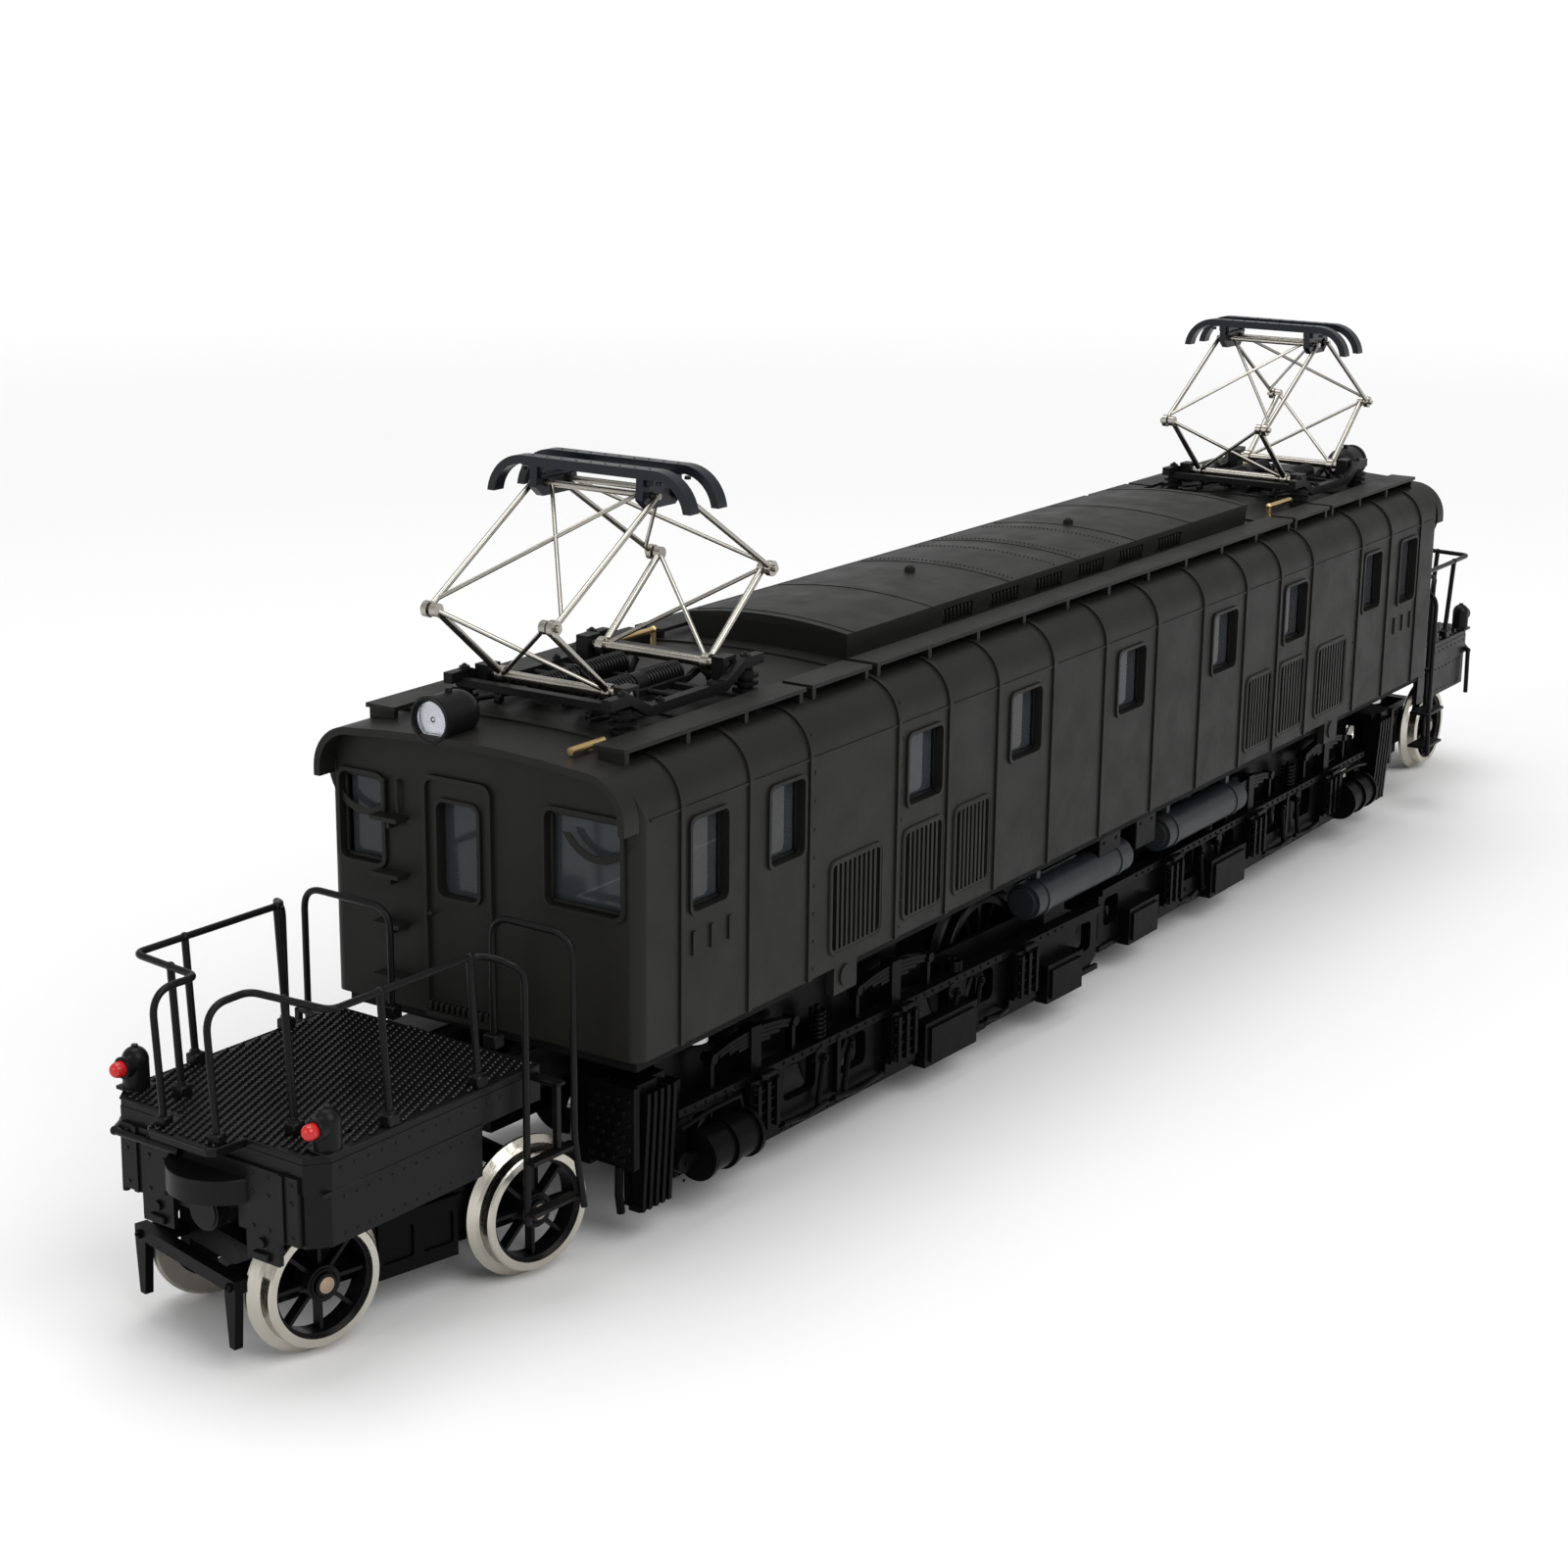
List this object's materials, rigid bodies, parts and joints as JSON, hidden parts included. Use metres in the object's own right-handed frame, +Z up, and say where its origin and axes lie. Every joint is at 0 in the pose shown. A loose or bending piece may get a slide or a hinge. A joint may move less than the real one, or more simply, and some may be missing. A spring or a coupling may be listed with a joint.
{
  "type": "model electric locomotive",
  "caption": "Box-bodied model electric locomotive with end decks, handrails, swivelling six-wheel driving trucks, spoked pilot trucks and folding roof pantographs.",
  "frame": {"origin": "middle of the locomotive on the plane that the wheel flanges rest on", "axes": "+X along the locomotive towards its far end, +Y across it, +Z up"},
  "size_m": [0.2553, 0.0369, 0.0693],
  "materials": {
    "body_paint": "satin dark brown grey",
    "window_glass": "clear",
    "black_paint": "satin black",
    "lamp_glass": "clear lens",
    "brass": "bare brass",
    "chassis_metal": "satin",
    "motor_metal": "brushed",
    "flywheel_brass": "turned",
    "tank_paint": "satin dark blue grey",
    "frame_black": "satin black",
    "deck_black": "semi gloss black",
    "red_lens": "translucent red",
    "gear_resin": "matt",
    "wheel_black": "blackened",
    "nickel_tyre": "turned nickel silver",
    "nickel_wire": "nickel silver",
    "shoe_metal": "dark blue black"
  },
  "bodies": {
    "body": {"body_shell": "body_paint", "roof_monitor": "body_paint", "roof_walkways": "body_paint", "body_glazing": "window_glass", "louvre_grilles": "body_paint", "headlights": "black_paint", "headlight_lenses": "lamp_glass", "roof_pipes": "brass", "chassis_floor": "chassis_metal", "motor_case": "motor_metal", "air_tanks": "tank_paint", "fasteners": "motor_metal", "panto_base_near": "black_paint", "panto_base_far": "black_paint"},
    "motor_rotor": {"motor_shaft": "flywheel_brass"},
    "main_truck_near": {"truck_frame_near": "frame_black", "side_frames_near": "frame_black", "leaf_springs_near": "frame_black", "deck_frame_near": "deck_black", "deck_plate_near": "deck_black", "deck_rails_near": "deck_black", "tail_lamps_near": "deck_black", "tail_lenses_near": "red_lens", "gear_case_near": "gear_resin"},
    "pilot_truck_near": {"pilot_frame_near": "frame_black"},
    "driver_near_1": {"driver_near_1": "wheel_black"},
    "driver_near_2": {"driver_near_2": "wheel_black"},
    "driver_near_3": {"driver_near_3": "wheel_black"},
    "pilot_wheels_near_1": {"pilot_tyres_near_1": "nickel_tyre", "pilot_centres_near_1": "wheel_black"},
    "pilot_wheels_near_2": {"pilot_tyres_near_2": "nickel_tyre", "pilot_centres_near_2": "wheel_black"},
    "main_truck_far": {"truck_frame_far": "frame_black", "side_frames_far": "frame_black", "leaf_springs_far": "frame_black", "deck_frame_far": "deck_black", "deck_plate_far": "deck_black", "deck_rails_far": "deck_black", "tail_lamps_far": "deck_black", "tail_lenses_far": "red_lens", "gear_case_far": "gear_resin"},
    "pilot_truck_far": {"pilot_frame_far": "frame_black"},
    "driver_far_1": {"driver_far_1": "wheel_black"},
    "driver_far_2": {"driver_far_2": "wheel_black"},
    "driver_far_3": {"driver_far_3": "wheel_black"},
    "pilot_wheels_far_1": {"pilot_tyres_far_1": "nickel_tyre", "pilot_centres_far_1": "wheel_black"},
    "pilot_wheels_far_2": {"pilot_tyres_far_2": "nickel_tyre", "pilot_centres_far_2": "wheel_black"},
    "panto_lower_a_near": {"panto_lower_a_near": "nickel_wire"},
    "panto_lower_b_near": {"panto_lower_b_near": "nickel_wire"},
    "panto_upper_a_near": {"panto_upper_a_near": "nickel_wire"},
    "panto_upper_b_near": {"panto_upper_b_near": "nickel_wire"},
    "panto_head_near": {"panto_head_near": "shoe_metal"},
    "panto_lower_a_far": {"panto_lower_a_far": "nickel_wire"},
    "panto_lower_b_far": {"panto_lower_b_far": "nickel_wire"},
    "panto_upper_a_far": {"panto_upper_a_far": "nickel_wire"},
    "panto_upper_b_far": {"panto_upper_b_far": "nickel_wire"},
    "panto_head_far": {"panto_head_far": "shoe_metal"}
  },
  "joints": [
    {"name": "motor_spin", "type": "hinge", "parent": "body", "child": "motor_rotor", "pos_m": [0, 0, 0.0264], "axis": [1, 0, 0], "continuous": true},
    {"name": "main_truck_near_swivel", "type": "hinge", "parent": "body", "child": "main_truck_near", "pos_m": [-0.06, 0, 0.0173], "axis": [0, 0, 1], "range_deg": [-1.6, 6.4]},
    {"name": "pilot_truck_near_swivel", "type": "hinge", "parent": "main_truck_near", "child": "pilot_truck_near", "pos_m": [-0.10576, 0.00192, 0.0109], "axis": [0, 0, 1], "range_deg": [-2.3, 24.7]},
    {"name": "driver_near_1_spin", "type": "hinge", "parent": "main_truck_near", "child": "driver_near_1", "pos_m": [-0.06749, 0.00031, 0.0087], "axis": [0.0419, 0.9991, 0], "continuous": true},
    {"name": "driver_near_2_spin", "type": "hinge", "parent": "main_truck_near", "child": "driver_near_2", "pos_m": [-0.04351, -0.00069, 0.0087], "axis": [0.0419, 0.9991, 0], "continuous": true},
    {"name": "driver_near_3_spin", "type": "hinge", "parent": "main_truck_near", "child": "driver_near_3", "pos_m": [-0.01954, -0.0017, 0.0087], "axis": [0.0419, 0.9991, 0], "continuous": true},
    {"name": "pilot_wheels_near_1_spin", "type": "hinge", "parent": "pilot_truck_near", "child": "pilot_wheels_near_1", "pos_m": [-0.11665, 0.00455, 0.0065], "axis": [0.2351, 0.972, 0], "continuous": true},
    {"name": "pilot_wheels_near_2_spin", "type": "hinge", "parent": "pilot_truck_near", "child": "pilot_wheels_near_2", "pos_m": [-0.09487, -0.00072, 0.0065], "axis": [0.2351, 0.972, 0], "continuous": true},
    {"name": "main_truck_far_swivel", "type": "hinge", "parent": "body", "child": "main_truck_far", "pos_m": [0.06, 0, 0.0173], "axis": [0, 0, 1], "range_deg": [-4, 4]},
    {"name": "pilot_truck_far_swivel", "type": "hinge", "parent": "main_truck_far", "child": "pilot_truck_far", "pos_m": [0.1058, 0, 0.0109], "axis": [0, 0, 1], "range_deg": [-13.5, 13.5]},
    {"name": "driver_far_1_spin", "type": "hinge", "parent": "main_truck_far", "child": "driver_far_1", "pos_m": [0.0675, 0, 0.0087], "axis": [0, -1, 0], "continuous": true},
    {"name": "driver_far_2_spin", "type": "hinge", "parent": "main_truck_far", "child": "driver_far_2", "pos_m": [0.0435, 0, 0.0087], "axis": [0, -1, 0], "continuous": true},
    {"name": "driver_far_3_spin", "type": "hinge", "parent": "main_truck_far", "child": "driver_far_3", "pos_m": [0.0195, 0, 0.0087], "axis": [0, -1, 0], "continuous": true},
    {"name": "pilot_wheels_far_1_spin", "type": "hinge", "parent": "pilot_truck_far", "child": "pilot_wheels_far_1", "pos_m": [0.117, 0, 0.0065], "axis": [0, -1, 0], "continuous": true},
    {"name": "pilot_wheels_far_2_spin", "type": "hinge", "parent": "pilot_truck_far", "child": "pilot_wheels_far_2", "pos_m": [0.0946, 0, 0.0065], "axis": [0, -1, 0], "continuous": true},
    {"name": "panto_fold_near", "type": "hinge", "parent": "body", "child": "panto_lower_a_near", "pos_m": [-0.0812, 0, 0.0498], "axis": [0, 1, 0], "range_deg": [-25, 15]},
    {"name": "panto_lower_b_turn_near", "type": "hinge", "parent": "body", "child": "panto_lower_b_near", "pos_m": [-0.066, 0, 0.0498], "axis": [0, 1, 0], "range_deg": [-15.5, 25.5]},
    {"name": "panto_knee_a_near", "type": "hinge", "parent": "panto_lower_a_near", "child": "panto_upper_a_near", "pos_m": [-0.0904, 0, 0.0574], "axis": [0, 1, 0], "range_deg": [-27.63, 45.71]},
    {"name": "panto_knee_b_near", "type": "hinge", "parent": "panto_lower_b_near", "child": "panto_upper_b_near", "pos_m": [-0.0568, 0, 0.0574], "axis": [0, 1, 0], "range_deg": [-45.71, 27.63]},
    {"name": "panto_head_level_near", "type": "hinge", "parent": "panto_upper_a_near", "child": "panto_head_near", "pos_m": [-0.07525, 0, 0.0668], "axis": [0, 1, 0], "range_deg": [-20.71, 12.63]},
    {"name": "panto_fold_far", "type": "hinge", "parent": "body", "child": "panto_lower_a_far", "pos_m": [0.066, 0, 0.0498], "axis": [0, 1, 0], "range_deg": [-25, 15]},
    {"name": "panto_lower_b_turn_far", "type": "hinge", "parent": "body", "child": "panto_lower_b_far", "pos_m": [0.0812, 0, 0.0498], "axis": [0, 1, 0], "range_deg": [-15.5, 25.5]},
    {"name": "panto_knee_a_far", "type": "hinge", "parent": "panto_lower_a_far", "child": "panto_upper_a_far", "pos_m": [0.0568, 0, 0.0574], "axis": [0, 1, 0], "range_deg": [-27.63, 45.71]},
    {"name": "panto_knee_b_far", "type": "hinge", "parent": "panto_lower_b_far", "child": "panto_upper_b_far", "pos_m": [0.0904, 0, 0.0574], "axis": [0, 1, 0], "range_deg": [-45.71, 27.63]},
    {"name": "panto_head_level_far", "type": "hinge", "parent": "panto_upper_a_far", "child": "panto_head_far", "pos_m": [0.07195, 0, 0.0668], "axis": [0, 1, 0], "range_deg": [-20.71, 12.63]}
  ],
  "couplings": [
    {"joint": "driver_near_1_spin", "follows": "driver_near_2_spin", "ratio": 1},
    {"joint": "driver_near_3_spin", "follows": "driver_near_2_spin", "ratio": 1},
    {"joint": "driver_far_1_spin", "follows": "driver_far_2_spin", "ratio": 1},
    {"joint": "driver_far_3_spin", "follows": "driver_far_2_spin", "ratio": 1},
    {"joint": "panto_lower_b_turn_near", "follows": "panto_fold_near", "ratio": -1},
    {"joint": "panto_knee_a_near", "follows": "panto_fold_near", "ratio": -1.8085},
    {"joint": "panto_knee_b_near", "follows": "panto_fold_near", "ratio": 1.8085},
    {"joint": "panto_head_level_near", "follows": "panto_fold_near", "ratio": 0.8085},
    {"joint": "panto_lower_b_turn_far", "follows": "panto_fold_far", "ratio": -1},
    {"joint": "panto_knee_a_far", "follows": "panto_fold_far", "ratio": -1.8085},
    {"joint": "panto_knee_b_far", "follows": "panto_fold_far", "ratio": 1.8085},
    {"joint": "panto_head_level_far", "follows": "panto_fold_far", "ratio": 0.8085}
  ]
}
